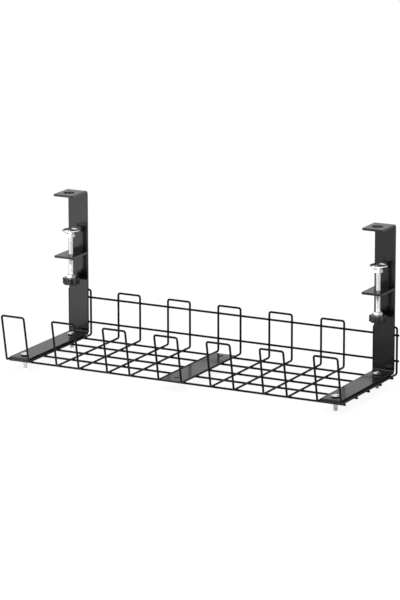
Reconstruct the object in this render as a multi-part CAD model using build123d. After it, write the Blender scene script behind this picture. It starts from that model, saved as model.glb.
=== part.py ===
"""Under-desk cable tray: a welded wire basket hung from two steel clamp brackets.

All lengths are millimetres. X runs along the tray, Y from its open front to its back, Z up.
The origin is at the middle of the footprint, level with the tips of the base bolts.
"""

from build123d import *
import math
import os

# Wire basket
wire_d = 2.55
hoop_count = 7
hoop_pitch = 68.0
hoop_width = 29.8            # between the centres of a hoop's two floor runs
tray_depth = 150.3           # from the front bend to the back uprights, wire centres
front_height = 55.8          # from the floor runs to the front top bar, wire centres
front_lean = 10.5            # how far the front top bar stands ahead of the front bend
back_height = 55.6
hoop_corner_r = 2.5          # wire centre line, at the top corners
hoop_floor_r = 2.5           # wire centre line, where the floor turns up
floor_wire_count = 5
floor_wire_first = 8.5       # from the front bend to the first long floor wire
floor_wire_last = 13.0       # from the last long floor wire to the back uprights, wire centres
back_wire_low = 15.0         # height of the lower long back wire above the floor runs
back_wire_high = 45.8
wire_overhang = 0.3          # how far the long wires pass the outer faces of the end hoops
weld_set_down = 0.25         # how far crossing wires sink into each other where they are welded

# Support plates welded on the long floor wires
plate_t = 1.5
plate_side_gap = 0.375       # on each side, to the hoop's floor runs
plate_front = 2.8            # from the front bend to the plate's front edge
plate_past_bolt = 11.0       # from the rear bolt to the plate's rear edge

# Base bolts
bolt_d = 5.0
bolt_length = 17.0           # under the head
bolt_front = 16.7            # from the front bend to the front bolt
bolt_hole_clearance = 0.25   # around the bolt in the bracket
thread_clearance = 0.1       # around a bolt or screw in its thread
head_d = 10.2
head_h = 3.0
head_edge_h = 1.6
recess_width = 1.2
recess_length = 5.4
recess_depth = 1.7

# Clamp brackets, each bent from one strap
strap_side_gap = 0.625       # on each side, between the hoop's floor runs
strap_t = 2.7
bend_r = 2.2                 # inside the bends
edge_r = 1.5                 # rounded corners of the flanges
strap_wire_gap = 0.3         # from the strap's back to the back uprights
strap_base_front = 3.4       # from the front bend to the strap's front edge
bracket_top = 179.3          # top of the bracket above the floor runs, wire centre
flange_depth = 38.5
screw_from_back = 20.0       # screw axis from the strap's back, also the rear bolt
top_hole_d = 13.0
top_hole_from_back = 23.5    # from the strap's back to the hole through the flange

# Clamp plates welded to the straps, tapped for the screws
clamp_plate_t = 2.7
clamp_plate_top = 103.7      # above the floor runs, wire centre

# Clamp screws with their nuts, pads and knobs
screw_d = 6.0
screw_running_clearance = 0.1
nut_across_flats = 10.0
nut_h = 4.0
nut_chamfer = 0.6
pad_rim_top = 133.4          # above the floor runs, wire centre
pad_d = 21.5
pad_dish_d = 14.0
pad_dish_depth = 1.6
pad_t = 1.3
pad_neck_d = 10.0
pad_neck_h = 1.6
spigot_d = 4.6               # turned-down end of the screw that the pad swivels on
spigot_clearance = 0.1
rivet_d = 7.4
rivet_h = 0.8
swivel_gap = 0.3             # above and below the pad
knob_top = 74.1              # above the floor runs, wire centre
knob_h = 8.2
knob_d = 20.4
knob_lobes = 8
knob_scallop_r = 3.0
knob_scallop_depth = 1.8
knob_chamfer = 1.0
screw_in_knob = 7.0

# Places that follow from the sizes
wire_r = wire_d / 2
hoop_x = [hoop_pitch * (i - (hoop_count - 1) / 2) for i in range(hoop_count)]
bracket_x = {"left": hoop_x[0], "right": hoop_x[-1]}
plate_x = {"left": hoop_x[0], "middle": hoop_x[hoop_count // 2], "right": hoop_x[-1]}
floor_wire_spacing = (tray_depth - floor_wire_last - floor_wire_first) / (floor_wire_count - 1)
run_clearance = hoop_width - wire_d
plate_width = run_clearance - 2 * plate_side_gap
strap_width = run_clearance - 2 * strap_side_gap
weld_step = wire_d - weld_set_down
back_wire_y = tray_depth + weld_step
plate_bottom = wire_r - weld_step
plate_top = plate_bottom + plate_t
strap_top = plate_top + strap_t
bolt_tip = strap_top - bolt_length
strap_back = tray_depth - wire_r - strap_wire_gap
strap_face = strap_back - strap_t
screw_y = strap_back - screw_from_back
top_hole_y = strap_back - top_hole_from_back
plate_back = screw_y + plate_past_bolt
flange_front = strap_back - flange_depth
basket_front = -front_lean - wire_r
basket_back = back_wire_y + wire_r
origin_y = (basket_front + basket_back) / 2
nut_top = pad_rim_top - pad_dish_depth - pad_t - pad_neck_h - swivel_gap


def place(solid, x=0.0):
    """Shifts a solid from the front bend and floor run heights to the part's own origin."""
    return Pos(x, -origin_y, -bolt_tip) * solid


def write(name, solid):
    solid.label = name
    export_step(solid, os.path.join("parts", name + ".step"))


def hoop():
    """One closed wire loop: two floor runs, leaning front uprights and straight back uprights."""
    half = hoop_width / 2
    side = [(-front_lean, front_height), (0, 0), (tray_depth, 0), (tray_depth, back_height)]
    radii = [hoop_corner_r, hoop_floor_r, hoop_floor_r, hoop_corner_r]
    right = [(half, y, z) for y, z in side]
    left = [(-half, y, z) for y, z in reversed(side)]
    path = FilletPolyline(*right, *left, radius=radii + radii[::-1], close=True)
    section = Plane(origin=path @ 0, z_dir=path % 0) * Circle(wire_r)
    return sweep(section, path=path)


def long_wire(y, z):
    length = hoop_pitch * (hoop_count - 1) + hoop_width + wire_d + 2 * wire_overhang
    return Pos(-length / 2, y, z) * Rot(0, 90, 0) * extrude(Circle(wire_r), length)


def flat_bar(width, front, back, bottom, thickness):
    """A flat piece in plan, from its front edge to its back edge."""
    outline = Pos(0, (front + back) / 2, bottom) * Rectangle(width, back - front)
    return extrude(outline, thickness)


def drill(y, diameter, bottom, thickness):
    return Pos(0, y, bottom - 1) * extrude(Circle(diameter / 2), thickness + 2)


def support_plate():
    bar = flat_bar(plate_width, plate_front, plate_back, plate_bottom, plate_t)
    for y in (bolt_front, screw_y):
        bar -= drill(y, bolt_d + 2 * thread_clearance, plate_bottom, plate_t)
    return bar


def bracket():
    """A strap bent twice: base under the bolts, upright behind the desk, flange over the desk."""
    profile = FilletPolyline(
        (strap_base_front, plate_top),
        (strap_back, plate_top),
        (strap_back, bracket_top),
        (flange_front, bracket_top),
        (flange_front, bracket_top - strap_t),
        (strap_face, bracket_top - strap_t),
        (strap_face, strap_top),
        (strap_base_front, strap_top),
        radius=[0, bend_r + strap_t, bend_r + strap_t, 0, 0, bend_r, bend_r, 0],
        close=True,
    )
    strap = extrude(Plane.YZ * make_face(profile), strap_width / 2, both=True)
    front_edges = strap.edges().filter_by(Axis.Z).filter_by(lambda e: e.center().Y < screw_y)
    strap = fillet(front_edges, edge_r)
    strap -= drill(top_hole_y, top_hole_d, bracket_top - strap_t, strap_t)
    for y in (bolt_front, screw_y):
        strap -= drill(y, bolt_d + 2 * bolt_hole_clearance, plate_top, strap_t)
    return strap


def clamp_plate():
    bottom = clamp_plate_top - clamp_plate_t
    bar = flat_bar(strap_width, flange_front, strap_face, bottom, clamp_plate_t)
    front_edges = bar.edges().filter_by(Axis.Z).sort_by(Axis.Y)[:2]
    bar = fillet(front_edges, edge_r)
    return bar - drill(screw_y, screw_d + 2 * screw_running_clearance, bottom, clamp_plate_t)


def base_bolt(y):
    """A domed head with a cross recess, and a plain shank that stands for the thread."""
    head_r = head_d / 2
    rise = head_h - head_edge_h
    dome_r = (head_r**2 + rise**2) / (2 * rise)
    halfway = (head_r / 2, head_h - dome_r + math.sqrt(dome_r**2 - head_r**2 / 4))
    outline = ThreePointArc((head_r, head_edge_h), halfway, (0, head_h)) + Polyline(
        (0, head_h), (0, -bolt_length), (bolt_d / 2, -bolt_length), (bolt_d / 2, 0), (head_r, 0),
        (head_r, head_edge_h),
    )
    bolt = revolve(Plane.XZ * make_face(outline), Axis.Z)
    for angle in (0, 90):
        slot = Rot(0, 0, angle) * Box(recess_length, recess_width, 2 * recess_depth)
        bolt -= Pos(0, 0, head_h) * slot
    return Pos(0, y, strap_top) * bolt


def hex_nut(top):
    """A hexagon with its corners turned off at both faces, bored over the screw."""
    corner_r = nut_across_flats / math.sqrt(3)
    bore_r = screw_d / 2 + thread_clearance
    hexagon = extrude(RegularPolygon(corner_r, 6), nut_h)
    turned = revolve(
        Plane.XZ
        * make_face(
            Polyline(
                (bore_r, 0), (corner_r - nut_chamfer, 0), (corner_r, nut_chamfer / 2),
                (corner_r, nut_h - nut_chamfer / 2), (corner_r - nut_chamfer, nut_h), (bore_r, nut_h),
                close=True,
            )
        ),
        Axis.Z,
    )
    return Pos(0, screw_y, top - nut_h) * (hexagon & turned)


def clamp_screw():
    """A threaded rod, turned down at the top to carry the pad and riveted over in its dish."""
    pad_floor = nut_top + swivel_gap + pad_neck_h + pad_t
    rivet_base = pad_floor + swivel_gap
    outline = Polyline(
        (0, knob_top - screw_in_knob), (screw_d / 2, knob_top - screw_in_knob), (screw_d / 2, nut_top),
        (spigot_d / 2, nut_top), (spigot_d / 2, rivet_base), (rivet_d / 2, rivet_base),
        (rivet_d / 2 - rivet_h / 2, rivet_base + rivet_h), (0, rivet_base + rivet_h),
        close=True,
    )
    return Pos(0, screw_y, 0) * revolve(Plane.XZ * make_face(outline), Axis.Z)


def pad():
    """A pressed cup that bears on the desk with its rim and swivels on the screw's end."""
    bore_r = spigot_d / 2 + spigot_clearance
    neck_bottom = nut_top + swivel_gap
    neck_top = neck_bottom + pad_neck_h
    floor = neck_top + pad_t
    outline = Polyline(
        (bore_r, neck_bottom), (pad_neck_d / 2, neck_bottom), (pad_neck_d / 2, neck_top),
        (pad_dish_d / 2, neck_top), (pad_d / 2, pad_rim_top - pad_t), (pad_d / 2, pad_rim_top),
        (pad_dish_d / 2 + pad_t, pad_rim_top), (pad_dish_d / 2, floor), (bore_r, floor),
        close=True,
    )
    return Pos(0, screw_y, 0) * revolve(Plane.XZ * make_face(outline), Axis.Z)


def knob():
    """A moulded hand knob with scallops between its lobes and a chamfered lower edge."""
    outer_r = knob_d / 2
    bore_r = screw_d / 2 + thread_clearance
    bottom = knob_top - knob_h
    grip = Pos(0, 0, bottom) * Cylinder(outer_r, knob_h, align=(Align.CENTER, Align.CENTER, Align.MIN))
    grip = chamfer(grip.edges().filter_by(GeomType.CIRCLE).sort_by(Axis.Z)[0], knob_chamfer)
    ring = outer_r + knob_scallop_r - knob_scallop_depth
    for scallop in PolarLocations(ring, knob_lobes):
        grip -= Pos(0, 0, bottom - 1) * scallop * extrude(Circle(knob_scallop_r), knob_h + 2)
    grip -= Pos(0, 0, knob_top - screw_in_knob) * extrude(Circle(bore_r), screw_in_knob + 1)
    return Pos(0, screw_y, 0) * grip


os.makedirs("parts", exist_ok=True)

for number, x in enumerate(hoop_x, start=1):
    write(f"hoop_{number}", place(hoop(), x))
for number in range(floor_wire_count):
    wire_y = floor_wire_first + number * floor_wire_spacing
    write(f"floor_wire_{number + 1}", place(long_wire(wire_y, -weld_step)))
write("back_wire_lower", place(long_wire(back_wire_y, back_wire_low)))
write("back_wire_upper", place(long_wire(back_wire_y, back_wire_high)))
for side, x in plate_x.items():
    write(f"support_plate_{side}", place(support_plate(), x))
for side, x in bracket_x.items():
    write(f"bracket_{side}", place(bracket(), x))
    write(f"clamp_plate_{side}", place(clamp_plate(), x))
    write(f"bolt_{side}_front", place(base_bolt(bolt_front), x))
    write(f"bolt_{side}_rear", place(base_bolt(screw_y), x))
    write(f"clamp_screw_{side}", place(clamp_screw(), x))
    write(f"pad_{side}", place(pad(), x))
    write(f"pad_nut_{side}", place(hex_nut(nut_top), x))
    write(f"knob_nut_{side}", place(hex_nut(knob_top + nut_h), x))
    write(f"knob_{side}", place(knob(), x))
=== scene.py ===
"""The looks of an under-desk cable tray: powder-coated wire and straps, and zinc-plated screws.

Lengths in this script are metres unless a name ends in _MM, and named angles are degrees.
"""

import math

import bmesh
import bpy
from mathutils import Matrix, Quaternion, Vector


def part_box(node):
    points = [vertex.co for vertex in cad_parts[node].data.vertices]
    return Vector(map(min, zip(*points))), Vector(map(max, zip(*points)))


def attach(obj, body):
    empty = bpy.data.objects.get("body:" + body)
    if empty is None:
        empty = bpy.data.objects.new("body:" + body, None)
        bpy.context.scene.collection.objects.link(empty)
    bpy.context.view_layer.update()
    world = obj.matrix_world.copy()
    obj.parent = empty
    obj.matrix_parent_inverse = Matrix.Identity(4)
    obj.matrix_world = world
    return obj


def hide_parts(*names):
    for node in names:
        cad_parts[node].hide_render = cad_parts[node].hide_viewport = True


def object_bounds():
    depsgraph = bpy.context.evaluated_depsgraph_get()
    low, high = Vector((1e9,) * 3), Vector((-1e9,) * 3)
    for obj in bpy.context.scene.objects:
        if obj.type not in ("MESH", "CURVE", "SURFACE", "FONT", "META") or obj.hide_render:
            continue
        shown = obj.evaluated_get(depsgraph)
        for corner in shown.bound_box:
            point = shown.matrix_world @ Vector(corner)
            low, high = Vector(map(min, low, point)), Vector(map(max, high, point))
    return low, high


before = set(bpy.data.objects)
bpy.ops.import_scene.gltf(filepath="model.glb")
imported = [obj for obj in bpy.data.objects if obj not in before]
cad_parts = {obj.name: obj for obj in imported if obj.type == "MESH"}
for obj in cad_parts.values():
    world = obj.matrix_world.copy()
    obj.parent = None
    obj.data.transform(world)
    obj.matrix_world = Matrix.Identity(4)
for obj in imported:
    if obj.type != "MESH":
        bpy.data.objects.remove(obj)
cad_low, cad_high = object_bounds()

MM = 0.001
SIDES = ("left", "right")
PLATES = ("left", "middle", "right")
BOLT_ENDS = ("front", "rear")
HOOPS = [name for name in sorted(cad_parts) if name.startswith("hoop_")]
FLOOR_WIRES = [name for name in sorted(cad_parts) if name.startswith("floor_wire_")]
BACK_WIRES = ["back_wire_lower", "back_wire_upper"]

# Finishes: how far apart their features are, and how high these stand
PEEL_SPACING_MM = 3.0
PEEL_HEIGHT = 0.05 * MM
GRAIN_SPACING_MM = 0.5
GRAIN_HEIGHT = 0.02 * MM
DRIFT_SPACING_MM = 40.0
ZINC_CLOUD_SPACING_MM = 5.0
TOOL_MARK_SPACING_MM = 0.35
TOOL_MARK_HEIGHT = 0.01 * MM
MOULD_PIT_SPACING_MM = 0.4
MOULD_PIT_HEIGHT = 0.015 * MM

# Wire basket; the end steps are the shares of its rounding at which a wire's end gets a ring
FRONT_LEAN = 10.5 * MM
FRONT_HEIGHT = 55.8 * MM
TOP_CORNER_R = 2.5 * MM
FLOOR_BEND_R = 2.5 * MM
WIRE_SIDES = 20
BEND_STEPS = 8
WIRE_END_ROUND = 0.35 * MM
WIRE_END_STEPS = (0.0, 0.13, 0.5, 1.0)

# Weld beads in the crossings: half sizes along the long wire, across it and through the crossing
WELD_HALF_LENGTH = 1.9 * MM
WELD_HALF_WIDTH = 1.15 * MM
WELD_HALF_HEIGHT = 0.55 * MM
WELD_SIZE_SPREAD = 0.18
WELD_SEED = 7
WELD_SEGMENTS = 14
WELD_RINGS = 8

# Flat steel; steps count the facets of a quarter turn or a bend
STRAP_EDGE_R = 0.4 * MM
PLATE_EDGE_R = 0.3 * MM
PLATE_CORNER_R = 0.6 * MM
FLANGE_CORNER_R = 1.5 * MM
STRAP_BEND_R = 2.2 * MM
STRAP_BEND_STEPS = 10
SECTION_STEPS = 4
EDGE_STEPS = 6
CORNER_STEPS = 8
STRAP_BASE_HOLE_R = 2.75 * MM
STRAP_BASE_HOLE_RIM = 0.2 * MM
PLATE_HOLE_R = 2.6 * MM
TOP_HOLE_R = 6.5 * MM
TOP_HOLE_FROM_BACK = 23.5 * MM
CLAMP_HOLE_R = 3.1 * MM
HOLE_SIDES = 48
HOLE_RIM_STEPS = 4
CUTTER_REACH = 1.0 * MM

# Fillet weld under a clamp plate; its ripples are (share of its size, radians a step, start)
FILLET_SIZE = 1.3 * MM
FILLET_STEPS = 52
FILLET_END_GAP = 1.5 * MM
FILLET_SINK = 0.2 * MM
FILLET_RIPPLES = ((0.10, 2.1, 0.0), (0.05, 0.9, 1.0))
FILLET_TAPER_POWER = 8
FILLET_LEAST_TAPER = 0.02

# Screws and their threads: the spare turns past each end are cut off, and the chamfer leaves at
# least this share of the root's radius at the tip
SCREW_R = 3.0 * MM
CLAMP_PITCH = 1.0 * MM
CLAMP_THREAD_DEPTH = 0.22 * MM
BOLT_R = 2.5 * MM
BOLT_PITCH = 0.8 * MM
BOLT_THREAD_DEPTH = 0.3 * MM
BOLT_TIP_CHAMFER = 0.5 * MM
THREAD_SIDES = 32
THREAD_SPARE_TURNS = 2
THREAD_LEAST_SHARE = 0.2

# The screw's riveted end, whose dome is (share of the rivet's radius, height over its base)
SPIGOT_R = 2.3 * MM
SPIGOT_SINK = 1.0 * MM
RIVET_R = 3.7 * MM
RIVET_H = 0.8 * MM
RIVET_EDGE_IN = 0.2 * MM
RIVET_EDGE_H = 0.15 * MM
RIVET_DOME = ((0.75, 0.35 * MM), (0.5, 0.6 * MM), (0.3, 0.74 * MM))
RIVET_SIDES = 40

# Nuts
NUT_FACE_SHARE = 0.94
NUT_CORNER_ANGLE = 28
NUT_BORE_GAP = 0.1 * MM
NUT_SINK = 0.35 * MM
NUT_SIDES = 72

# Pad: a dish on a neck, which is a waist over a collar; its underside turns up beyond the flat
PAD_BORE_R = 2.4 * MM
PAD_COLLAR_R = 5.0 * MM
PAD_NECK_H = 1.6 * MM
PAD_COLLAR_SOFT = 0.3 * MM
PAD_COLLAR_H = 0.5 * MM
PAD_WAIST_R = 3.7 * MM
PAD_STEP = 0.1 * MM
PAD_DISH_R = 7.0 * MM
PAD_DISH_OUT = 0.9 * MM
PAD_DISH_RISE = 0.35 * MM
PAD_T = 1.3 * MM
PAD_SIDES = 64
# Its rolled rim, from the underside over the edge into the dish: (in from the edge, below the top)
PAD_RIM = (
    (0.9 * MM, PAD_T + 0.25 * MM), (0.25 * MM, PAD_T - 0.1 * MM), (0.0, 0.75 * PAD_T),
    (0.0, 0.4 * PAD_T), (0.2 * MM, 0.12 * MM), (0.55 * MM, 0.0), (1.0 * MM, 0.05 * MM),
    (1.5 * MM, 0.4 * MM), (2.2 * MM, 1.0 * MM),
)
# The foot of the dish's sloping wall: (in from the edge, above the dish's floor)
PAD_DISH_FOOT = ((3.1 * MM, 0.2 * MM), (4.2 * MM, 0.0))

# Knob: the chamfer's edges are rounded from the reach outside it to the soft distance inside
KNOB_LOBES = 8
KNOB_LOBE_POINTS = 24
KNOB_R = 10.2 * MM
KNOB_SCALLOP_R = 3.0 * MM
KNOB_SCALLOP_DEPTH = 1.8 * MM
KNOB_CHAMFER = 1.0 * MM
KNOB_CHAMFER_SOFT = 0.1 * MM
KNOB_CHAMFER_REACH = 0.15 * MM
KNOB_EDGE_R = 0.4 * MM
KNOB_EDGE_STEPS = 4
# The shallow recess underneath: (share of the knob's radius, depth)
KNOB_RECESS = ((0.25, 0.5 * MM), (0.45, 0.5 * MM), (0.5, 0.0))
# Where the flat top has its inner rings: shares of the radius
KNOB_TOP_SHARES = (0.62, 0.60)

# Bolt heads, whose side is (in from the edge, above the underside)
HEAD_H = 3.0 * MM
HEAD_EDGE_H = 1.6 * MM
HEAD_SIDE = ((1.1 * MM, 0.0), (0.55 * MM, 0.6 * MM), (0.15 * MM, 1.15 * MM),
             (0.0, HEAD_EDGE_H - 0.1 * MM))
HEAD_DOME_STEPS = 12
HEAD_SIDES = 56
SHANK_SINK = 0.2 * MM
RECESS_ARM = 2.7 * MM
RECESS_WIDTH = 1.2 * MM
RECESS_DEPTH = 1.7 * MM
# The cross recess from over the head downwards: (below its top, share of arm, share of width)
RECESS_LEVELS = ((-1.0 * MM, 1.0, 1.0), (0.4 * MM, 0.95, 1.0), (RECESS_DEPTH, 0.35, 0.6))

# Meshes: edges over the sharp angles stay sharp, points nearer than the merge distances become
# one, a turned solid's rings shrink to the least radius, and large flat faces lead the normals
SHARP_ANGLE = 35
NUT_SHARP_ANGLE = 20
PAD_SHARP_ANGLE = 40
KNOB_SHARP_ANGLE = 30
MERGE = 1e-6
FINE_MERGE = 1e-7
LEAST_RING_R = 1e-5
FLAT_FACES_LEAD = 90

# Camera, fitted to the photograph, and its frame
CAMERA_AT = (1845.9 * MM, -3511.3 * MM, 1062.1 * MM)
CAMERA_AZIMUTH = 27.704
CAMERA_ELEVATION = 13.698
CAMERA_ROLL = -0.070
CAMERA_LENS_MM = 209.83
CAMERA_SENSOR_MM = 36.0
CAMERA_CLIP = (0.1, 100.0)

# What steel mirrors of the floor, as (place, brightness), painted into its glow for glossy rays: a
# painted pool of light as a slanting band in front on the left, and painted shade round the object
# and just behind it
POOL_SLANT = 0.5256
POOL_ACROSS = ((-1.2, 0.6), (-0.55, 0.55), (-0.42, 1.4), (-0.30, 3.85), (-0.19, 3.85), (-0.02, 2.0),
               (0.12, 1.6), (0.26, 1.7), (0.45, 2.4), (1.2, 2.8))
POOL_ALONG = ((-0.60, 1.0), (-0.32, 0.85), (-0.17, 0.84), (-0.06, 0.70), (0.04, 0.28), (0.16, 0.10),
              (0.60, 0.42), (1.40, 0.70))
BRIGHTEST_MIRRORED = 4.5

# Floor: what the camera sees of it, and the share of it that glows; the rest takes the shadow
FLOOR_HALF = 14.0
FLOOR_SEEN = 1.02
FLOOR_GLOW_SHARE = 0.9

# Room: its brightness in front and behind, the share of that at the far left, and the directions
# between which each changes, as parts of a unit vector
ROOM_FRONT = 1.35
ROOM_BACK = 0.83
ROOM_LEFT = 0.55
ROOM_DEPTH = (-0.5, 0.7)
ROOM_SIDE = (-0.9, -0.5)

# Lamps: (name, place, what it aims at, size, watts)
SOFTBOXES = (
    ("overhead_softbox", (0.3, -0.4, 2.2), (0, 0, 0.05), (2.2, 1.6), 14),
    ("front_left_softbox", (-1.6, -2.2, 1.3), (0, 0, 0.08), (1.4, 1.4), 10),
)


def axis_of(node):
    """The foot of a round node's upright axis."""
    low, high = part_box(node)
    return ((low.x + high.x) / 2, (low.y + high.y) / 2, 0.0)


# Sizes and places read from the frame
floor_low, floor_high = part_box(FLOOR_WIRES[0])
WIRE_R = (floor_high.z - floor_low.z) / 2
HOLE_Y = [axis_of(f"bolt_left_{end}")[1] for end in BOLT_ENDS]
plate_low, plate_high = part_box("clamp_plate_left")
STRAP_T = plate_high.z - plate_low.z
FLANGE_FRONT_Y = plate_low.y


def node_tree(material):
    """The material's node tree, emptied."""
    material.use_nodes = True
    material.node_tree.nodes.clear()
    return material.node_tree


def add(tree, kind, links=None, **settings):
    """Adds one node: settings are its own fields, and links its sockets by name, linked or set."""
    node = tree.nodes.new(kind)
    for name, value in settings.items():
        setattr(node, name, value)
    for name, value in (links or {}).items():
        socket = node.inputs[name]
        if isinstance(value, bpy.types.NodeSocket):
            tree.links.new(value, socket)
        else:
            socket.default_value = value
    return node


def linear(hex_colour):
    """An sRGB hex colour as linear RGBA."""
    channels = [int(hex_colour[i:i + 2], 16) / 255 for i in (1, 3, 5)]
    return [c / 12.92 if c <= 0.04045 else ((c + 0.055) / 1.055) ** 2.4 for c in channels] + [1.0]


def per_metre(size_mm):
    """The scale of a pattern on Object coordinates whose features are this many mm apart."""
    return 1000.0 / size_mm


def powder_coat(name, dark, light, specular, sheen_range):
    """Polyester powder coat on steel, sprayed and baked: near-black with a fine orange peel."""
    material = bpy.data.materials.new(name)
    tree = node_tree(material)
    place = add(tree, "ShaderNodeTexCoord").outputs["Object"]
    # the baked film levels into shallow waves, which bend the reflections a little
    peel = add(tree, "ShaderNodeTexNoise", {
        "Vector": place, "Scale": per_metre(PEEL_SPACING_MM), "Detail": 1.0,
    })
    # single grains of powder, drawn so far apart that they still show
    grain = add(tree, "ShaderNodeTexNoise", {
        "Vector": place, "Scale": per_metre(GRAIN_SPACING_MM), "Detail": 1.0,
    })
    # slow changes of the film over a hand's width
    drift = add(tree, "ShaderNodeTexNoise", {
        "Vector": place, "Scale": per_metre(DRIFT_SPACING_MM), "Detail": 1.0,
    })
    colour = add(tree, "ShaderNodeMix", {
        "Factor": drift.outputs["Fac"], "A": linear(dark), "B": linear(light),
    }, data_type="RGBA")
    sheen = add(tree, "ShaderNodeMapRange", {
        "Value": grain.outputs["Fac"], "To Min": sheen_range[0], "To Max": sheen_range[1],
    })
    waves = add(tree, "ShaderNodeBump", {
        "Height": peel.outputs["Fac"], "Strength": 0.2, "Distance": PEEL_HEIGHT,
    })
    grains = add(tree, "ShaderNodeBump", {
        "Height": grain.outputs["Fac"], "Normal": waves.outputs["Normal"],
        "Strength": 0.15, "Distance": GRAIN_HEIGHT,
    })
    shader = add(tree, "ShaderNodeBsdfPrincipled", {
        "Base Color": colour.outputs["Result"], "Roughness": sheen.outputs["Result"],
        "Normal": grains.outputs["Normal"], "IOR": 1.5, "Specular IOR Level": specular,
    })
    add(tree, "ShaderNodeOutputMaterial", {"Surface": shader.outputs["BSDF"]})
    return material


def zinc_plate():
    """Bright zinc plate on turned and rolled steel: pale metal that mirrors what is round it."""
    material = bpy.data.materials.new("bright_zinc_plate")
    tree = node_tree(material)
    place = add(tree, "ShaderNodeTexCoord").outputs["Object"]
    # the plated skin clouds over a few millimetres
    cloud = add(tree, "ShaderNodeTexNoise", {
        "Vector": place, "Scale": per_metre(ZINC_CLOUD_SPACING_MM), "Detail": 3.0,
    })
    # fine crystals and tool marks, which break up the mirror a little
    marks = add(tree, "ShaderNodeTexNoise", {
        "Vector": place, "Scale": per_metre(TOOL_MARK_SPACING_MM), "Detail": 1.0,
    })
    colour = add(tree, "ShaderNodeMix", {
        "Factor": cloud.outputs["Fac"], "A": linear("#e4e5e8"), "B": linear("#f2f2f2"),
    }, data_type="RGBA")
    sheen = add(tree, "ShaderNodeMapRange", {
        "Value": cloud.outputs["Fac"], "To Min": 0.14, "To Max": 0.24,
    })
    bump = add(tree, "ShaderNodeBump", {
        "Height": marks.outputs["Fac"], "Strength": 0.2, "Distance": TOOL_MARK_HEIGHT,
    })
    shader = add(tree, "ShaderNodeBsdfPrincipled", {
        "Base Color": colour.outputs["Result"], "Roughness": sheen.outputs["Result"],
        "Normal": bump.outputs["Normal"], "Metallic": 1.0,
    })
    add(tree, "ShaderNodeOutputMaterial", {"Surface": shader.outputs["BSDF"]})
    return material


def knob_plastic():
    """Moulded black nylon: dark, slightly grey where light grazes its fine spark-eroded texture."""
    material = bpy.data.materials.new("black_moulded_nylon")
    tree = node_tree(material)
    place = add(tree, "ShaderNodeTexCoord").outputs["Object"]
    # the pits that the mould's texture leaves
    pits = add(tree, "ShaderNodeTexNoise", {
        "Vector": place, "Scale": per_metre(MOULD_PIT_SPACING_MM), "Detail": 2.0,
    })
    # the colour is darker in the pits and lighter on the rises between them: painted shade in the
    # hollows
    colour = add(tree, "ShaderNodeMix", {
        "Factor": pits.outputs["Fac"], "A": linear("#0a0a0b"), "B": linear("#121213"),
    }, data_type="RGBA")
    bump = add(tree, "ShaderNodeBump", {
        "Height": pits.outputs["Fac"], "Strength": 0.15, "Distance": MOULD_PIT_HEIGHT,
    })
    shader = add(tree, "ShaderNodeBsdfPrincipled", {
        "Base Color": colour.outputs["Result"], "Roughness": 0.2,
        "Normal": bump.outputs["Normal"], "IOR": 1.53, "Specular IOR Level": 0.35,
    })
    add(tree, "ShaderNodeOutputMaterial", {"Surface": shader.outputs["BSDF"]})
    return material


# the flat steel is glossy enough to mirror the knobs; the wire's coat is rougher, and a darker copy
# with weaker reflections: painted shade that keeps the thin wires dark
COAT = powder_coat("black_powder_coat", "#070707", "#0c0c0c",
                   specular=0.3, sheen_range=(0.15, 0.21))
WIRE_COAT = powder_coat("black_powder_coat_on_wire", "#040404", "#070707",
                        specular=0.1, sheen_range=(0.28, 0.36))
ZINC = zinc_plate()
NYLON = knob_plastic()


def placed(name, data):
    """A new object with this data, linked into the scene."""
    thing = bpy.data.objects.new(name, data)
    bpy.context.scene.collection.objects.link(thing)
    return thing


def new_object(name, mesh, material):
    """A new object of one material."""
    mesh.materials.clear()
    mesh.materials.append(material)
    return placed(name, mesh)


def settle(piece, material, body, *nodes):
    """Puts a finished piece on its body, and hides the CAD nodes that it stands for."""
    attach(piece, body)
    if nodes:
        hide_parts(*nodes)


def baked(piece, name):
    """The piece with its modifiers worked in, as a plain mesh object of the given name."""
    evaluated = piece.evaluated_get(bpy.context.evaluated_depsgraph_get())
    mesh = bpy.data.meshes.new_from_object(evaluated)
    bpy.data.objects.remove(piece)
    mesh.name = name
    return placed(name, mesh)


def smooth_flats(piece):
    """Soft edges and true flats: sharp edges stay sharp, and large faces lead the normals."""
    piece.data.shade_smooth()
    piece.data.set_sharp_from_angle(angle=math.radians(SHARP_ANGLE))
    lead = piece.modifiers.new("flats_lead", "WEIGHTED_NORMAL")
    lead.keep_sharp = True
    lead.weight = FLAT_FACES_LEAD
    return baked(piece, piece.name)


def new_tree(name, sockets):
    """A Geometry Nodes tree with a geometry and these named inputs."""
    tree = bpy.data.node_groups.new(name, "GeometryNodeTree")
    tree.interface.new_socket("Geometry", in_out="INPUT", socket_type="NodeSocketGeometry")
    for socket, kind in sockets.items():
        tree.interface.new_socket(socket, in_out="INPUT", socket_type=f"NodeSocket{kind}")
    tree.interface.new_socket("Geometry", in_out="OUTPUT", socket_type="NodeSocketGeometry")
    return tree


def end_tree(tree, geometry, material):
    """Ends a tree: its instances are made real and get the material."""
    real = add(tree, "GeometryNodeRealizeInstances", {"Geometry": geometry})
    coated = add(tree, "GeometryNodeSetMaterial", {
        "Geometry": real.outputs["Geometry"], "Material": material,
    })
    add(tree, "NodeGroupOutput", {"Geometry": coated.outputs["Geometry"]})


def run_tree(piece, tree, name, inputs):
    """Runs a tree on a piece with its named inputs set, and returns the result as a plain mesh."""
    modifier = piece.modifiers.new(tree.name, "NODES")
    modifier.node_group = tree
    for socket in tree.interface.items_tree:
        if socket.in_out == "INPUT" and socket.name in inputs:
            modifier[socket.identifier] = inputs[socket.name]
    return baked(piece, name)


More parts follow.
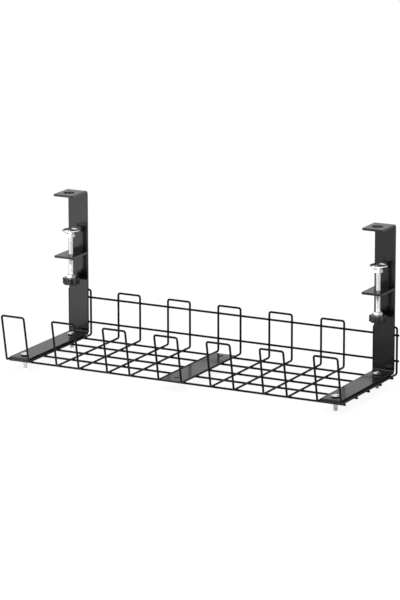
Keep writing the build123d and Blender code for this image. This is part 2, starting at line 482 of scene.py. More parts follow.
def wire_tree():
    """Rounds a wire's corners and gives it its thickness, with closed ends."""
    tree = new_tree("bent_wire", {
        "Wire Radius": "Float", "Top Corner Radius": "Float", "Floor Bend Radius": "Float",
        "Floor Level": "Float", "Sides": "Int", "Bend Steps": "Int", "Material": "Material",
    })
    given = add(tree, "NodeGroupInput").outputs
    place = add(tree, "GeometryNodeInputPosition")
    height = add(tree, "ShaderNodeSeparateXYZ", {"Vector": place.outputs["Position"]})
    low = add(tree, "FunctionNodeCompare", {
        "A": height.outputs["Z"], "B": given["Floor Level"],
    }, operation="LESS_THAN")
    bend = add(tree, "GeometryNodeSwitch", {
        "Switch": low.outputs["Result"], "False": given["Top Corner Radius"],
        "True": given["Floor Bend Radius"],
    }, input_type="FLOAT")
    rounded = add(tree, "GeometryNodeFilletCurve", {
        "Curve": given["Geometry"], "Radius": bend.outputs["Output"], "Count": given["Bend Steps"],
        "Limit Radius": True,
    }, mode="POLY")
    section = add(tree, "GeometryNodeCurvePrimitiveCircle", {
        "Resolution": given["Sides"], "Radius": given["Wire Radius"],
    }, mode="RADIUS")
    tube = add(tree, "GeometryNodeCurveToMesh", {
        "Curve": rounded.outputs["Curve"], "Profile Curve": section.outputs["Curve"],
        "Fill Caps": True,
    })
    end_tree(tree, tube.outputs["Mesh"], given["Material"])
    return tree


def wire_line(points, closed):
    """A poly curve through the points, each given with the share of the wire's radius there."""
    curve = bpy.data.curves.new("wire_line", "CURVE")
    curve.dimensions = "3D"
    spline = curve.splines.new("POLY")
    spline.points.add(len(points) - 1)
    for target, (point, share) in zip(spline.points, points):
        target.co = (*point, 1)
        target.radius = share
    spline.use_cyclic_u = closed
    return placed("wire_line", curve)


def wire_inputs(top_corner_r, floor_bend_r, floor_level):
    """The wire tree's inputs: corners below the floor level get the floor's bends."""
    return {
        "Wire Radius": WIRE_R, "Top Corner Radius": top_corner_r,
        "Floor Bend Radius": floor_bend_r, "Floor Level": floor_level,
        "Sides": WIRE_SIDES, "Bend Steps": BEND_STEPS, "Material": WIRE_COAT,
    }


def make_hoop(name, tree):
    """A closed loop of wire: floor runs, leaning front uprights and straight back uprights."""
    low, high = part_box(name)
    left, right = low.x + WIRE_R, high.x - WIRE_R
    floor, back = low.z + WIRE_R, high.y - WIRE_R
    front_top = low.y + WIRE_R
    side = [
        (front_top, floor + FRONT_HEIGHT), (front_top + FRONT_LEAN, floor),
        (back, floor), (back, high.z - WIRE_R),
    ]
    points = [(left, y, z) for y, z in side] + [(right, y, z) for y, z in reversed(side)]
    line = wire_line([(point, 1.0) for point in points], closed=True)
    inputs = wire_inputs(TOP_CORNER_R, FLOOR_BEND_R, floor + WIRE_R)
    piece = run_tree(line, tree, f"{name}_coated", inputs)
    settle(piece, WIRE_COAT, "tray", name)


def make_long_wire(name, tree):
    """A straight wire whose sheared ends the coating has rounded a little."""
    low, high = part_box(name)
    y, z = (low.y + high.y) / 2, (low.z + high.z) / 2
    ends = []
    for step in WIRE_END_STEPS:
        lost = (1 - math.sqrt(1 - (1 - step) ** 2)) * WIRE_END_ROUND
        ends.append((WIRE_END_ROUND * step, 1 - lost / WIRE_R))
    points = [((low.x + depth, y, z), share) for depth, share in ends]
    points += [((high.x - depth, y, z), share) for depth, share in reversed(ends)]
    line = wire_line(points, closed=False)
    piece = run_tree(line, tree, f"{name}_coated", wire_inputs(0.0, 0.0, 0.0))
    settle(piece, WIRE_COAT, "tray", name)


def weld_tree():
    """Puts a small squeezed-out weld bead at each point, turned along the point's long wire."""
    tree = new_tree("weld_beads", {
        "Bead Size": "Vector", "Size Spread": "Float", "Seed": "Int", "Material": "Material",
    })
    given = add(tree, "NodeGroupInput").outputs
    ball = add(tree, "GeometryNodeMeshUVSphere", {
        "Segments": WELD_SEGMENTS, "Rings": WELD_RINGS, "Radius": 1.0,
    })
    soft = add(tree, "GeometryNodeSetShadeSmooth", {"Geometry": ball.outputs["Mesh"]})
    least = add(tree, "ShaderNodeMath", {0: 1.0, 1: given["Size Spread"]}, operation="SUBTRACT")
    vary = add(tree, "FunctionNodeRandomValue", {
        "Min": least.outputs["Value"], "Max": 1.0, "Seed": given["Seed"],
    }, data_type="FLOAT")
    factor = next(s for s in vary.outputs if s.type == "VALUE" and s.enabled)
    size = add(tree, "ShaderNodeVectorMath", {
        0: given["Bead Size"], "Scale": factor,
    }, operation="SCALE")
    tilt = add(tree, "GeometryNodeInputNamedAttribute", {"Name": "tilt"}, data_type="FLOAT_VECTOR")
    rotation = next(s for s in tilt.outputs if s.type == "VECTOR" and s.enabled)
    beads = add(tree, "GeometryNodeInstanceOnPoints", {
        "Points": given["Geometry"], "Instance": soft.outputs["Geometry"],
        "Scale": size.outputs["Vector"], "Rotation": rotation,
    })
    end_tree(tree, beads.outputs["Instances"], given["Material"])
    return tree


def make_weld_beads():
    """One bead in each crossing of a hoop and a long wire, none past the long wires' ends."""
    points, tilts = [], []
    first_x, last_x = cad_low.x + WELD_HALF_LENGTH, cad_high.x - WELD_HALF_LENGTH
    for hoop in HOOPS:
        low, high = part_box(hoop)
        columns = (max(low.x + WIRE_R, first_x), min(high.x - WIRE_R, last_x))
        for name in FLOOR_WIRES:
            wire_low, wire_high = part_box(name)
            middle = (wire_low.y + wire_high.y) / 2
            seam = (low.z + wire_high.z) / 2
            points += [(x, middle, seam) for x in columns]
            tilts += [(0, 0, 0)] * 2
        for name in BACK_WIRES:
            wire_low, wire_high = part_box(name)
            seam = (high.y + wire_low.y) / 2
            middle = (wire_low.z + wire_high.z) / 2
            points += [(x, seam, middle) for x in columns]
            tilts += [(math.pi / 2, 0, 0)] * 2
    mesh = bpy.data.meshes.new("weld_points")
    mesh.from_pydata(points, [], [])
    mesh.attributes.new("tilt", "FLOAT_VECTOR", "POINT")
    mesh.attributes["tilt"].data.foreach_set("vector", [t for tilt in tilts for t in tilt])
    piece = run_tree(placed("weld_points", mesh), weld_tree(), "weld_beads", {
        "Bead Size": (WELD_HALF_LENGTH, WELD_HALF_WIDTH, WELD_HALF_HEIGHT),
        "Size Spread": WELD_SIZE_SPREAD, "Seed": WELD_SEED, "Material": WIRE_COAT,
    })
    settle(piece, WIRE_COAT, "tray")


def quarter_turn(steps):
    """The angles of a quarter turn in equal steps, both ends among them."""
    return [math.radians(90 * k / steps) for k in range(steps + 1)]


def full_turn(count):
    """The angles of so many equal steps round a full turn."""
    return [2 * math.pi * k / count for k in range(count)]


def around(centre, radius, angle, z):
    """A point round an upright axis."""
    return Vector((centre[0] + radius * math.cos(angle), centre[1] + radius * math.sin(angle), z))


def ring_of(radius, z, count, centre):
    """A level circle's points, at the height z over its centre's."""
    return [
        Vector(centre) + Vector((radius * math.cos(angle), radius * math.sin(angle), z))
        for angle in full_turn(count)
    ]


def loft(rings, closed_ends=True):
    """A skin over rings of equally many points, with a face at each end."""
    mesh = bmesh.new()
    rows = [[mesh.verts.new(point) for point in ring] for ring in rings]
    for near, far in zip(rows, rows[1:]):
        for i in range(len(near)):
            j = (i + 1) % len(near)
            mesh.faces.new((near[i], near[j], far[j], far[i]))
    if closed_ends:
        mesh.faces.new(list(reversed(rows[0])))
        mesh.faces.new(rows[-1])
    return mesh


def loft_bored(rings):
    """A skin over rings of which the last is the first again, as round a bore."""
    mesh = loft(rings, closed_ends=False)
    bmesh.ops.remove_doubles(mesh, verts=mesh.verts, dist=FINE_MERGE)
    return mesh


def turned(profile, count, centre):
    """A solid turned from (radius, height) pairs; a bored one's profile ends where it starts."""
    rings = [ring_of(max(radius, LEAST_RING_R), z, count, centre) for radius, z in profile]
    return loft_bored(rings) if profile[0] == profile[-1] else loft(rings)


def finished(mesh, name, merge=MERGE):
    """Merges doubled points, turns the faces outwards and returns the bmesh as a mesh."""
    bmesh.ops.remove_doubles(mesh, verts=mesh.verts, dist=merge)
    bmesh.ops.dissolve_degenerate(mesh, edges=mesh.edges, dist=merge)
    bmesh.ops.recalc_face_normals(mesh, faces=mesh.faces)
    data = bpy.data.meshes.new(name)
    mesh.to_mesh(data)
    mesh.free()
    return data


def cut_away(piece, cutter_mesh):
    """The piece less a closed cutter."""
    cutter = placed("cutter", finished(cutter_mesh, "cutter", FINE_MERGE))
    cut = piece.modifiers.new("cut", "BOOLEAN")
    cut.operation = "DIFFERENCE"
    cut.solver = "EXACT"
    cut.object = cutter
    piece = baked(piece, piece.name)
    bpy.data.objects.remove(cutter)
    return piece


def cut_holes(piece, holes):
    """Cuts round holes with rounded rims: each is (centre, radius, half thickness, rim radius)."""
    for centre, radius, half, rim in holes:
        profile = [(radius + rim, half + CUTTER_REACH)]
        for angle in quarter_turn(HOLE_RIM_STEPS):
            profile.append((
                radius + rim * (1 - math.sin(angle)), half - rim * (1 - math.cos(angle)),
            ))
        profile += [(r, -z) for r, z in reversed(profile)]
        piece = cut_away(piece, loft([ring_of(r, z, HOLE_SIDES, centre) for r, z in profile]))
    return piece


def rounded_section(half_width, half_height, radius):
    """Points of a rectangle with rounded corners, as (across, up) pairs."""
    core_w, core_h = half_width - radius, half_height - radius
    corners = [
        (core_w, core_h, 0), (-core_w, core_h, 90), (-core_w, -core_h, 180), (core_w, -core_h, 270),
    ]
    points = []
    for x, y, start in corners:
        for k in range(SECTION_STEPS + 1):
            angle = math.radians(start + 90 * k / SECTION_STEPS)
            points.append((x + radius * math.cos(angle), y + radius * math.sin(angle)))
    return points


def strip_rings(path, half_width, thickness, edge_r, corner_r):
    """Rings of a rounded strip along a path of (distance, point, normal): its ends are rounded too.

    corner_r gives the radius in plan of the corners at the start and at the end.
    """
    total = path[-1][0]
    rings = []
    for distance, point, normal in path:
        ends = [(distance, corner_r[0]), (total - distance, corner_r[1])]
        inset, radius = 0.0, edge_r
        for gap, corner in ends:
            if gap < corner:
                inset = max(inset, corner - math.sqrt(corner**2 - (corner - gap) ** 2))
            if gap < edge_r:
                radius = min(radius, math.sqrt(max(edge_r**2 - (edge_r - gap) ** 2, 0)))
        lost = edge_r - radius
        section = rounded_section(half_width - inset - lost, thickness / 2 - lost, radius)
        rings.append([point + Vector((across, 0, 0)) + normal * up for across, up in section])
    return rings


def end_stations(length, edge_r, corner_r):
    """Distances along a strip at which its rings stand, close together where its ends round."""
    stations = {0.0, length}
    for at_end, corner in enumerate(corner_r):
        reaches = [edge_r * (1 - math.cos(angle)) for angle in quarter_turn(EDGE_STEPS)]
        reaches += [corner * (1 - math.cos(angle)) for angle in quarter_turn(CORNER_STEPS)]
        stations |= {length - reach if at_end else reach for reach in reaches}
    return sorted(stations)


def make_flat_plate(node, holes, edge_r, corner_r):
    """A flat steel plate on its CAD node's place, with rounded edges and (y, radius) holes."""
    low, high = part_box(node)
    middle_x, middle_z = (low.x + high.x) / 2, (low.z + high.z) / 2
    length, thickness = high.y - low.y, high.z - low.z
    path = [
        (s, Vector((middle_x, low.y + s, middle_z)), Vector((0, 0, 1)))
        for s in end_stations(length, edge_r, corner_r)
    ]
    rings = strip_rings(path, (high.x - low.x) / 2, thickness, edge_r, corner_r)
    name = f"{node}_coated"
    piece = new_object(name, finished(loft(rings), name), COAT)
    cuts = [((middle_x, y, middle_z), radius, thickness / 2, edge_r) for y, radius in holes]
    settle(smooth_flats(cut_holes(piece, cuts)), COAT, "tray", node)


def bracket_path(low, high):
    """The strap's middle line from the base's front edge, up the back and over to the flange."""
    half = STRAP_T / 2
    middle_x = (low.x + high.x) / 2
    bottom, back, top = low.z + half, high.y - half, high.z - half
    bend = STRAP_BEND_R + half
    arc = bend * math.pi / 2
    base_length = back - bend - low.y
    up_length = top - bottom - 2 * bend
    over_length = back - bend - FLANGE_FRONT_Y
    rise_start = base_length + arc
    over_bend_start = rise_start + up_length
    flange_start = over_bend_start + arc
    corners = (FLANGE_CORNER_R, FLANGE_CORNER_R)
    stations = set(end_stations(flange_start + over_length, STRAP_EDGE_R, corners))
    for start in (base_length, over_bend_start):
        stations |= {start + arc * k / STRAP_BEND_STEPS for k in range(STRAP_BEND_STEPS + 1)}
    path = []
    for s in sorted(stations):
        if s <= base_length:
            angle = 0.0
            point = (low.y + s, bottom)
        elif s <= rise_start:
            angle = (s - base_length) / bend
            point = (back - bend + bend * math.sin(angle), bottom + bend - bend * math.cos(angle))
        elif s <= over_bend_start:
            angle = math.pi / 2
            point = (back, bottom + bend + s - rise_start)
        elif s <= flange_start:
            turn = (s - over_bend_start) / bend
            angle = math.pi / 2 + turn
            point = (back - bend + bend * math.cos(turn), top - bend + bend * math.sin(turn))
        else:
            angle = math.pi
            point = (back - bend - (s - flange_start), top)
        normal = Vector((0, -math.sin(angle), math.cos(angle)))
        path.append((s, Vector((middle_x, *point)), normal))
    return path


def make_bracket(side):
    """A bent strap with softened edges; the base holes take the bolts, and the top one is open."""
    node = f"bracket_{side}"
    low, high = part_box(node)
    half = STRAP_T / 2
    rings = strip_rings(bracket_path(low, high), (high.x - low.x) / 2, STRAP_T, STRAP_EDGE_R,
                        (FLANGE_CORNER_R, FLANGE_CORNER_R))
    name = f"{node}_coated"
    piece = new_object(name, finished(loft(rings), name), COAT)
    middle = (low.x + high.x) / 2
    holes = [
        ((middle, y, low.z + half), STRAP_BASE_HOLE_R, half, STRAP_BASE_HOLE_RIM) for y in HOLE_Y
    ]
    top_centre = (middle, high.y - TOP_HOLE_FROM_BACK, high.z - half)
    holes.append((top_centre, TOP_HOLE_R, half, STRAP_EDGE_R))
    settle(smooth_flats(cut_holes(piece, holes)), COAT, "tray", node)


def make_fillet_weld(side):
    """The weld along the underside of a clamp plate, where it meets the strap."""
    low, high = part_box(f"clamp_plate_{side}")
    length = high.x - low.x - 2 * FILLET_END_GAP
    rings = []
    for k in range(FILLET_STEPS + 1):
        x = low.x + FILLET_END_GAP + length * k / FILLET_STEPS
        ripple = 1 + sum(
            share * math.sin(k * pace + start) for share, pace, start in FILLET_RIPPLES
        )
        from_middle = 2 * k / FILLET_STEPS - 1
        taper = math.sqrt(max(1 - from_middle**FILLET_TAPER_POWER, FILLET_LEAST_TAPER))
        size = FILLET_SIZE * ripple * taper
        section = [
            (FILLET_SINK, FILLET_SINK), (FILLET_SINK, -size), (-0.25 * size, -0.75 * size),
            (-0.75 * size, -0.25 * size), (-size, FILLET_SINK),
        ]
        corner = Vector((x, high.y, low.z))
        rings.append([corner + Vector((0, back, up)) for back, up in section])
    name = f"weld_under_clamp_plate_{side}"
    mesh = finished(loft(rings), name)
    mesh.shade_smooth()
    settle(new_object(name, mesh, COAT), COAT, "tray")


def thread_skin(centre, root_r, crest_r, pitch, low, high, chamfer):
    """A screw thread as one winding skin, which reaches past both heights, thinner at the low."""
    mesh = bmesh.new()
    turns = math.ceil((high - low) / pitch) + 2 * THREAD_SPARE_TURNS
    start = low - THREAD_SPARE_TURNS * pitch
    rows = []
    for half_turn in range(2 * turns + 1):
        row = []
        for k, angle in enumerate(full_turn(THREAD_SIDES)):
            z = start + pitch * (half_turn / 2 + k / THREAD_SIDES)
            chamfered = max(root_r - chamfer + z - low, THREAD_LEAST_SHARE * root_r)
            radius = min(crest_r if half_turn % 2 else root_r, chamfered)
            row.append(mesh.verts.new(around(centre, radius, angle, z)))
        rows.append(row)
    for number in range(len(rows) - 1):
        near, far = rows[number], rows[number + 1]
        for k in range(THREAD_SIDES - 1):
            mesh.faces.new((near[k], near[k + 1], far[k + 1], far[k]))
        # after a full turn a row goes on in the one that starts a pitch higher
        if number + 3 < len(rows):
            mesh.faces.new((near[-1], rows[number + 2][0], rows[number + 3][0], far[-1]))
    return mesh


def thread_mesh(centre, root_r, crest_r, pitch, low, high, chamfer=0.0):
    """A threaded rod between two heights, cut flat and closed at both."""
    mesh = thread_skin(centre, root_r, crest_r, pitch, low, high, chamfer)
    for height, outwards in ((low, -1), (high, 1)):
        cut = bmesh.ops.bisect_plane(
            mesh, geom=mesh.verts[:] + mesh.edges[:] + mesh.faces[:], dist=FINE_MERGE,
            plane_co=(0, 0, height), plane_no=(0, 0, outwards), clear_outer=True,
        )
        rim = [piece for piece in cut["geom_cut"] if isinstance(piece, bmesh.types.BMEdge)]
        bmesh.ops.holes_fill(mesh, edges=rim, sides=0)
    return mesh


def join(meshes, name, material, angle=SHARP_ANGLE):
    """Several bmeshes as one smooth-shaded piece, whose edges over the angle stay sharp."""
    whole = bmesh.new()
    for mesh in meshes:
        bmesh.ops.recalc_face_normals(mesh, faces=mesh.faces)
        part = bpy.data.meshes.new("part")
        mesh.to_mesh(part)
        mesh.free()
        whole.from_mesh(part)
        bpy.data.meshes.remove(part)
    data = bpy.data.meshes.new(name)
    whole.to_mesh(data)
    whole.free()
    data.shade_smooth()
    data.set_sharp_from_angle(angle=math.radians(angle))
    return new_object(name, data, material)


def make_clamp_screw(side):
    """A threaded rod whose turned-down end is riveted over in the pad's dish."""
    node = f"clamp_screw_{side}"
    low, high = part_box(node)
    centre = axis_of(node)
    nut_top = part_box(f"pad_nut_{side}")[1].z
    shank = thread_mesh(centre, SCREW_R - CLAMP_THREAD_DEPTH, SCREW_R, CLAMP_PITCH, low.z, nut_top)
    rivet_base = high.z - RIVET_H
    end = [
        (0.0, nut_top - SPIGOT_SINK), (SPIGOT_R, nut_top - SPIGOT_SINK), (SPIGOT_R, rivet_base),
        (RIVET_R - RIVET_EDGE_IN, rivet_base), (RIVET_R, rivet_base + RIVET_EDGE_H),
    ]
    end += [(RIVET_R * share, rivet_base + height) for share, height in RIVET_DOME]
    end.append((0.0, high.z))
    rivet = turned(end, RIVET_SIDES, centre)
    piece = join([shank, rivet], f"{node}_threaded", ZINC)
    settle(piece, ZINC, f"screw_{side}", node)


def make_nut(side, node):
    """A hexagon nut: its corners turned off on both faces and its bore countersunk."""
    low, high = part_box(node)
    centre = axis_of(node)
    flat = (high.y - low.y) / 2
    face_r = flat * NUT_FACE_SHARE
    slope = math.tan(math.radians(NUT_CORNER_ANGLE))
    bore = SCREW_R + NUT_BORE_GAP
    sixth = math.pi / 3

    def level(radius, z):
        """A round edge of the nut."""
        return ring_of(radius, z, NUT_SIDES, centre)

    def hexagon(face_z, outwards):
        """The hexagon's edge, which falls away from the face where it lies outside the face."""
        ring = []
        for angle in full_turn(NUT_SIDES):
            from_flat = (angle + sixth / 2 - math.pi / 2) % sixth - sixth / 2
            radius = flat / math.cos(from_flat)
            z = face_z - outwards * max(radius - face_r, 0) * slope
            ring.append(around(centre, radius, angle, z))
        return ring

    rings = [
        level(bore, low.z + NUT_SINK), level(bore + NUT_SINK, low.z), level(face_r, low.z),
        hexagon(low.z, -1), hexagon(high.z, 1),
        level(face_r, high.z), level(bore + NUT_SINK, high.z), level(bore, high.z - NUT_SINK),
        level(bore, low.z + NUT_SINK),
    ]
    piece = join([loft_bored(rings)], f"{node}_plated", ZINC, NUT_SHARP_ANGLE)
    settle(piece, ZINC, f"screw_{side}", node)


def make_pad(side):
    """A pressed cup with a rolled rim that swivels on the screw's end."""
    node = f"pad_{side}"
    low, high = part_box(node)
    edge_r = (high.x - low.x) / 2
    neck_top = low.z + PAD_NECK_H
    floor = neck_top + PAD_T
    collar_top = low.z + PAD_COLLAR_H
    profile = [
        (PAD_BORE_R, low.z), (PAD_COLLAR_R - PAD_COLLAR_SOFT, low.z),
        (PAD_COLLAR_R, low.z + PAD_COLLAR_SOFT), (PAD_COLLAR_R, collar_top),
        (PAD_WAIST_R, collar_top + PAD_STEP), (PAD_WAIST_R, neck_top - PAD_STEP),
        (PAD_WAIST_R + PAD_STEP, neck_top), (PAD_DISH_R, neck_top),
        (PAD_DISH_R + PAD_DISH_OUT, neck_top + PAD_DISH_RISE),
    ]
    profile += [(edge_r - inward, high.z - below) for inward, below in PAD_RIM]
    profile += [(edge_r - inward, floor + above) for inward, above in PAD_DISH_FOOT]
    profile += [(PAD_BORE_R, floor), (PAD_BORE_R, low.z)]
    mesh = turned(profile, PAD_SIDES, axis_of(node))
    piece = join([mesh], f"{node}_pressed", ZINC, PAD_SHARP_ANGLE)
    settle(piece, ZINC, f"pad_{side}", node)


def knob_outline(count, inset):
    """Radii round the knob: a circle with scallops, drawn in by an inset and slightly smoothed."""
    ring = KNOB_R + KNOB_SCALLOP_R - KNOB_SCALLOP_DEPTH
    scoop = KNOB_SCALLOP_R + inset
    step = 2 * math.pi / KNOB_LOBES
    radii = []
    for angle in full_turn(count):
        off = (angle + step / 2) % step - step / 2
        radius = KNOB_R - inset
        under = scoop**2 - (ring * math.sin(off)) ** 2
        if under > 0:
            radius = min(radius, ring * math.cos(off) - math.sqrt(under))
        radii.append(radius)
    return [(radii[k - 1] + 2 * radii[k] + radii[(k + 1) % count]) / 4 for k in range(count)]


def make_knob(side):
    """A moulded knob: scallops for the fingers, soft edges, and a chamfer and recess underneath."""
    node = f"knob_{side}"
    low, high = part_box(node)
    centre = axis_of(node)
    count = KNOB_LOBES * KNOB_LOBE_POINTS
    angles = full_turn(count)
    chamfer_top = low.z + KNOB_CHAMFER
    lobed = [
        (KNOB_CHAMFER + KNOB_CHAMFER_REACH, low.z),
        (KNOB_CHAMFER - KNOB_CHAMFER_SOFT, low.z + KNOB_CHAMFER_SOFT),
        (KNOB_CHAMFER_SOFT, chamfer_top - KNOB_CHAMFER_SOFT),
        (0.0, chamfer_top + KNOB_CHAMFER_REACH),
    ]
    for angle in quarter_turn(KNOB_EDGE_STEPS):
        inset = KNOB_EDGE_R * (1 - math.cos(angle))
        lobed.append((inset, high.z - KNOB_EDGE_R * (1 - math.sin(angle))))
    round_below = [(share * KNOB_R, low.z + depth) for share, depth in KNOB_RECESS]
    round_above = [(share * KNOB_R, high.z) for share in KNOB_TOP_SHARES]
    outlines = [([radius] * count, z) for radius, z in round_below]
    outlines += [(knob_outline(count, inset), z) for inset, z in lobed]
    outlines += [([radius] * count, z) for radius, z in round_above]
    rings = [
        [around(centre, radius, angle, z) for radius, angle in zip(radii, angles)]
        for radii, z in outlines
    ]
    piece = join([loft(rings)], f"{node}_moulded", NYLON, KNOB_SHARP_ANGLE)
    settle(piece, NYLON, f"screw_{side}", node)


def cross_cutters(centre, top):
    """Two tapered bars that cross, for a driver's tip."""
    bars = []
    for turn in (0, 90):
        angle = math.radians(turn)
        along = Vector((math.cos(angle), math.sin(angle), 0))
        across = Vector((-math.sin(angle), math.cos(angle), 0))
        rings = []
        for below, arm_share, width_share in RECESS_LEVELS:
            middle = Vector((centre[0], centre[1], top - below))
            arm = along * RECESS_ARM * arm_share
            half = across * (RECESS_WIDTH / 2 * width_share)
            rings.append([
                middle + arm * u + half * v for u, v in ((1, 1), (-1, 1), (-1, -1), (1, -1))
            ])
        bars.append(loft(rings))
    return bars


def make_bolt(side, end):
    """A pan-head machine screw: domed head with a cross recess over a rolled thread."""
    node = f"bolt_{side}_{end}"
    low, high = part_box(node)
    centre = axis_of(node)
    head_r = (high.x - low.x) / 2
    under = high.z - HEAD_H
    rise = HEAD_H - HEAD_EDGE_H
    dome_r = (head_r**2 + rise**2) / (2 * rise)
    # the side turns in under the dome, so that it mirrors the black strap that it stands on
    profile = [(0.0, under)] + [(head_r - inward, under + above) for inward, above in HEAD_SIDE]
    for k in range(HEAD_DOME_STEPS + 1):
        radius = head_r * (1 - k / HEAD_DOME_STEPS)
        profile.append((radius, high.z - dome_r + math.sqrt(dome_r**2 - radius**2)))
    head = join([turned(profile, HEAD_SIDES, centre)], "head", ZINC)
    for cutter in cross_cutters(centre, high.z):
        head = cut_away(head, cutter)
    top = bmesh.new()
    top.from_mesh(head.data)
    bpy.data.objects.remove(head)
    shank = thread_mesh(centre, BOLT_R - BOLT_THREAD_DEPTH, BOLT_R, BOLT_PITCH, low.z,
                        under + SHANK_SINK, BOLT_TIP_CHAMFER)
    piece = join([top, shank], f"{node}_plated", ZINC)
    settle(piece, ZINC, "tray", node)


def brightness_curve(tree, value, points, top):
    """A smooth curve through (place, brightness) points, as a socket; a ramp itself ends at 1."""
    start, end = points[0][0], points[-1][0]
    share = add(tree, "ShaderNodeMapRange", {"Value": value, "From Min": start, "From Max": end})
    ramp = add(tree, "ShaderNodeValToRGB", {"Fac": share.outputs["Result"]})
    ramp.color_ramp.interpolation = "EASE"
    stops = ramp.color_ramp.elements
    while len(stops) < len(points):
        stops.new(0.5)
    for stop, (place, bright) in zip(stops, points):
        stop.position = (place - start) / (end - start)
        stop.color = [bright / top] * 3 + [1]
    scaled = add(tree, "ShaderNodeMath", {0: ramp.outputs["Color"], 1: top}, operation="MULTIPLY")
    return scaled.outputs["Value"]


def floor_material():
    """Pale studio floor: white to the camera, and to glossy rays a painted pool of light and shade.
    """
    material = bpy.data.materials.new("studio_floor")
    tree = node_tree(material)
    ray = add(tree, "ShaderNodeLightPath").outputs
    place = add(tree, "ShaderNodeTexCoord").outputs["Object"]
    apart = add(tree, "ShaderNodeSeparateXYZ", {"Vector": place}).outputs
    slanted = add(tree, "ShaderNodeMath", {
        0: apart["Y"], 1: -POOL_SLANT, 2: apart["X"],
    }, operation="MULTIPLY_ADD")
    across = brightness_curve(tree, slanted.outputs["Value"], POOL_ACROSS, BRIGHTEST_MIRRORED)
    along = brightness_curve(tree, apart["Y"], POOL_ALONG, 1.0)
    # the glow that glossy rays see: a painted pool of light, with painted shade round the object
    pool = add(tree, "ShaderNodeMath", {0: across, 1: along}, operation="MULTIPLY")
    seen = add(tree, "ShaderNodeMath", {
        0: ray["Is Camera Ray"], 1: ray["Is Glossy Ray"],
    }, operation="MAXIMUM")
    share = add(tree, "ShaderNodeMath", {
        0: seen.outputs["Value"], 1: FLOOR_GLOW_SHARE,
    }, operation="MULTIPLY")
    strength = add(tree, "ShaderNodeMix", {
        "Factor": ray["Is Camera Ray"], "A": pool.outputs["Value"], "B": FLOOR_SEEN,
    }, data_type="FLOAT")
    matt = add(tree, "ShaderNodeBsdfDiffuse", {"Color": linear("#f4f4f4")})
    glow = add(tree, "ShaderNodeEmission", {
        "Color": (1, 1, 1, 1), "Strength": strength.outputs["Result"],
    })
    mixed = add(tree, "ShaderNodeMixShader", {
        "Fac": share.outputs["Value"], 1: matt.outputs["BSDF"], 2: glow.outputs["Emission"],
    })
    add(tree, "ShaderNodeOutputMaterial", {"Surface": mixed.outputs["Shader"]})
    return material


def make_stage():
    """The studio floor, which keeps a faint shadow of the object."""
    corners = ((-1, -1), (1, -1), (1, 1), (-1, 1))
    mesh = bpy.data.meshes.new("floor")
    mesh.from_pydata([(x * FLOOR_HALF, y * FLOOR_HALF, 0) for x, y in corners], [], [(0, 1, 2, 3)])
    floor = new_object("studio_floor", mesh, floor_material())


def make_world():
    """A soft white room, brighter in front, a little darker behind and to the left."""
    world = bpy.data.worlds.new("studio")
    bpy.context.scene.world = world
    world.use_nodes = True
    tree = world.node_tree
    tree.nodes.clear()
    ray = add(tree, "ShaderNodeLightPath").outputs
    direction = add(tree, "ShaderNodeTexCoord").outputs["Generated"]
    apart = add(tree, "ShaderNodeSeparateXYZ", {"Vector": direction})
    depth = add(tree, "ShaderNodeMapRange", {
        "Value": apart.outputs["Y"], "From Min": ROOM_DEPTH[0], "From Max": ROOM_DEPTH[1],
        "To Min": ROOM_FRONT, "To Max": ROOM_BACK,
    }, interpolation_type="SMOOTHSTEP")
    left = add(tree, "ShaderNodeMapRange", {
        "Value": apart.outputs["X"], "From Min": ROOM_SIDE[0], "From Max": ROOM_SIDE[1],
        "To Min": ROOM_LEFT, "To Max": 1.0,
    }, interpolation_type="SMOOTHSTEP")
    room_light = add(tree, "ShaderNodeMath", {
        0: depth.outputs["Result"], 1: left.outputs["Result"],
    }, operation="MULTIPLY")
    strength = add(tree, "ShaderNodeMix", {
        "Factor": ray["Is Camera Ray"], "A": room_light.outputs["Value"], "B": 1.0,
    }, data_type="FLOAT")
    room = add(tree, "ShaderNodeBackground", {
        "Color": (1, 1, 1, 1), "Strength": strength.outputs["Result"],
    })
    add(tree, "ShaderNodeOutputWorld", {"Surface": room.outputs["Background"]})


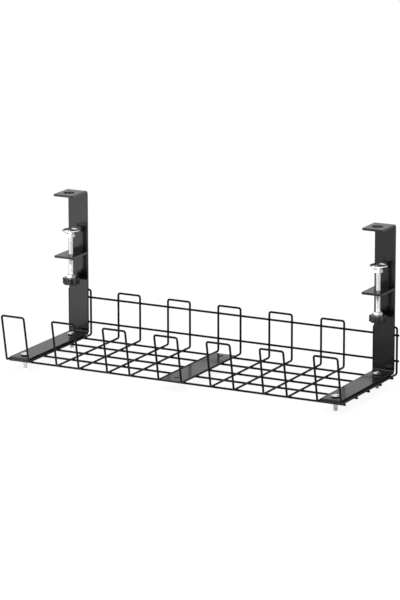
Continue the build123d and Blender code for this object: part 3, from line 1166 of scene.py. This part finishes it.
def area_light(name, at, aim, size, watts):
    """A rectangular softbox that faces what it aims at."""
    light = bpy.data.lights.new(name, "AREA")
    light.shape = "RECTANGLE"
    light.size, light.size_y = size
    light.energy = watts
    lamp = placed(name, light)
    lamp.location = at
    lamp.rotation_mode = "QUATERNION"
    lamp.rotation_quaternion = (Vector(aim) - Vector(at)).to_track_quat("-Z", "Y")


def make_camera():
    """The photograph's camera: far off, long-lensed and a little above the tray."""
    data = bpy.data.cameras.new("camera")
    data.lens = CAMERA_LENS_MM
    data.sensor_width = CAMERA_SENSOR_MM
    data.clip_start, data.clip_end = CAMERA_CLIP
    camera = placed("camera", data)
    azimuth, elevation = math.radians(CAMERA_AZIMUTH), math.radians(CAMERA_ELEVATION)
    forward = Vector((
        -math.sin(azimuth) * math.cos(elevation), math.cos(azimuth) * math.cos(elevation),
        -math.sin(elevation),
    ))
    camera.location = CAMERA_AT
    camera.rotation_mode = "QUATERNION"
    camera.rotation_quaternion = (
        Quaternion(forward, math.radians(-CAMERA_ROLL)) @ forward.to_track_quat("-Z", "Y")
    )
    bpy.context.scene.camera = camera


bent_wire = wire_tree()
for hoop_name in HOOPS:
    make_hoop(hoop_name, bent_wire)
for wire_name in FLOOR_WIRES + BACK_WIRES:
    make_long_wire(wire_name, bent_wire)
make_weld_beads()
for plate_side in PLATES:
    make_flat_plate(f"support_plate_{plate_side}", [(y, PLATE_HOLE_R) for y in HOLE_Y],
                    PLATE_EDGE_R, (PLATE_CORNER_R, PLATE_CORNER_R))
for clamp_side in SIDES:
    make_bracket(clamp_side)
    make_flat_plate(f"clamp_plate_{clamp_side}", [(HOLE_Y[1], CLAMP_HOLE_R)],
                    STRAP_EDGE_R, (FLANGE_CORNER_R, 0.0))
    make_fillet_weld(clamp_side)
    make_clamp_screw(clamp_side)
    make_nut(clamp_side, f"pad_nut_{clamp_side}")
    make_nut(clamp_side, f"knob_nut_{clamp_side}")
    make_pad(clamp_side)
    make_knob(clamp_side)
    for bolt_end in BOLT_ENDS:
        make_bolt(clamp_side, bolt_end)

make_stage()
make_world()
for softbox in SOFTBOXES:
    area_light(*softbox)
make_camera()

view = bpy.context.scene.view_settings
view.view_transform = "Standard"
